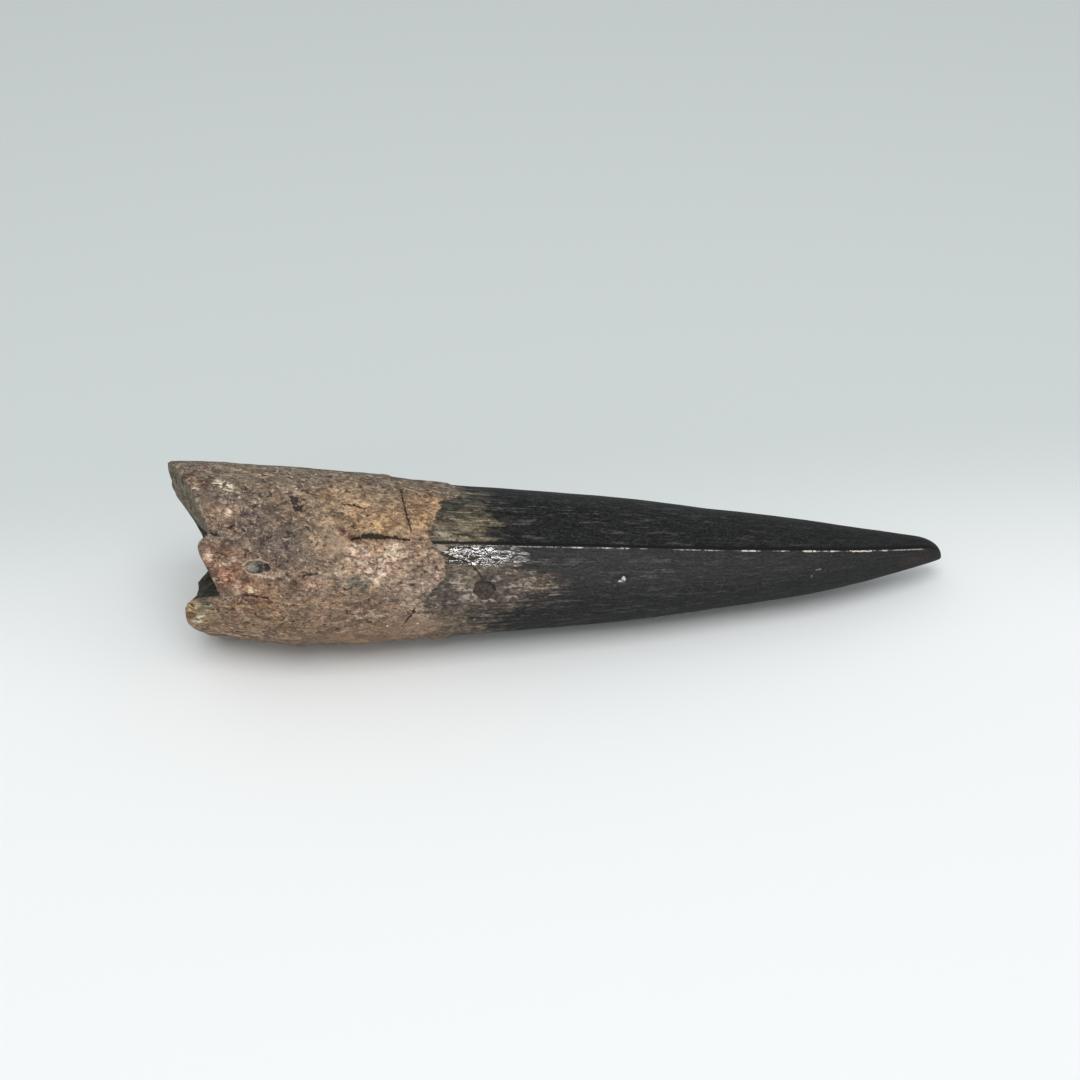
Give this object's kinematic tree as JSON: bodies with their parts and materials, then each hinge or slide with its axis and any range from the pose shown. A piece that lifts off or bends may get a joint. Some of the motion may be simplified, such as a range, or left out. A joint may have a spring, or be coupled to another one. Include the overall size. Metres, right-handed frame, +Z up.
{
  "type": "fossil dinosaur tooth",
  "caption": "Fossil tooth lying on its side: long dark conical crown with front and back keels, on a rough brown root with a broken, hollow end.",
  "frame": {"origin": "on the surface that the tooth lies on, under the middle of its box", "axes": "+X along the tooth from the broken root to the tip, +Z up; the front keel faces -Y and up"},
  "size_m": [0.1144, 0.03, 0.0258],
  "materials": {
    "fossil": "rough matte brown root, satin near-black crown"
  },
  "bodies": {
    "root": {"tooth": "fossil"}
  },
  "joints": []
}
